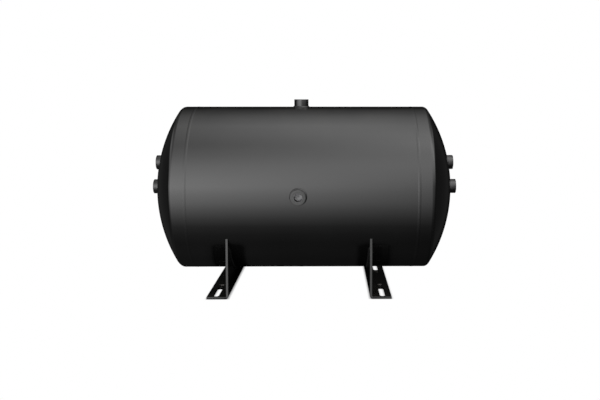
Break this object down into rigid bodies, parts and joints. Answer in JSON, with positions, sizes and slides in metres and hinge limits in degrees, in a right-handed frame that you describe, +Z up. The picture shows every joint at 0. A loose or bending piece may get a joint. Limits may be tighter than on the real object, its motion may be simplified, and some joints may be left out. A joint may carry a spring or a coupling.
{
  "type": "air receiver tank",
  "caption": "Horizontal cylindrical compressed-air tank with domed ends, welded threaded ports, a bottom drain and two bent L-shaped feet with slots for bolting down.",
  "frame": {"origin": "on the floor, in the middle of the feet's four round fixing holes", "axes": "+X along the tank, -Y towards the side with the front port, +Z up through the top port"},
  "size_m": [0.75, 0.4154, 0.4545],
  "materials": {
    "painted_vessel": "semi-gloss black paint",
    "painted_boss": "semi-gloss black paint on turned steel",
    "painted_foot": "semi-gloss black paint on pressed plate",
    "painted_weld": "semi-gloss black paint over a weld bead",
    "plug_plastic": "smooth moulded polyethylene",
    "plated_steel": "bright zinc plate",
    "seal_rubber": "matt nitrile rubber"
  },
  "bodies": {
    "tank": {"drain_boss": "painted_boss", "drain_boss_weld": "painted_weld", "front_port_boss": "painted_boss", "front_port_weld": "painted_weld", "head_left": "painted_vessel", "head_right": "painted_vessel", "head_weld_left": "painted_weld", "head_weld_right": "painted_weld", "left_foot": "painted_foot", "left_foot_weld_inner": "painted_weld", "left_foot_weld_outer": "painted_weld", "left_lower_port_boss": "painted_boss", "left_lower_port_weld": "painted_weld", "left_upper_port_boss": "painted_boss", "left_upper_port_weld": "painted_weld", "right_foot": "painted_foot", "right_foot_weld_inner": "painted_weld", "right_foot_weld_outer": "painted_weld", "right_lower_port_boss": "painted_boss", "right_lower_port_weld": "painted_weld", "right_upper_port_boss": "painted_boss", "right_upper_port_weld": "painted_weld", "shell": "painted_vessel", "shell_seam_weld": "painted_weld", "top_port_boss": "painted_boss", "top_port_weld": "painted_weld"},
    "port_plug": {"front_port_plug": "plug_plastic"},
    "seal_ring": {"drain_seal_ring": "seal_rubber"},
    "drain_plug": {"drain_plug": "plated_steel"}
  },
  "joints": [
    {"name": "port_plug_pull", "type": "slide", "parent": "tank", "child": "port_plug", "axis": [0, -1, 0], "range_m": [0, 0.03]},
    {"name": "drain_plug_turn", "type": "hinge", "parent": "tank", "child": "seal_ring", "pos_m": [0, 0, 0.0389], "axis": [0, 0, -1], "range_deg": [0, 3240]},
    {"name": "drain_plug_travel", "type": "slide", "parent": "seal_ring", "child": "drain_plug", "axis": [0, 0, -1], "range_m": [0, 0.0136]}
  ],
  "couplings": [
    {"joint": "drain_plug_travel", "follows": "drain_plug_turn", "m_per_rad": 0.00023873}
  ]
}
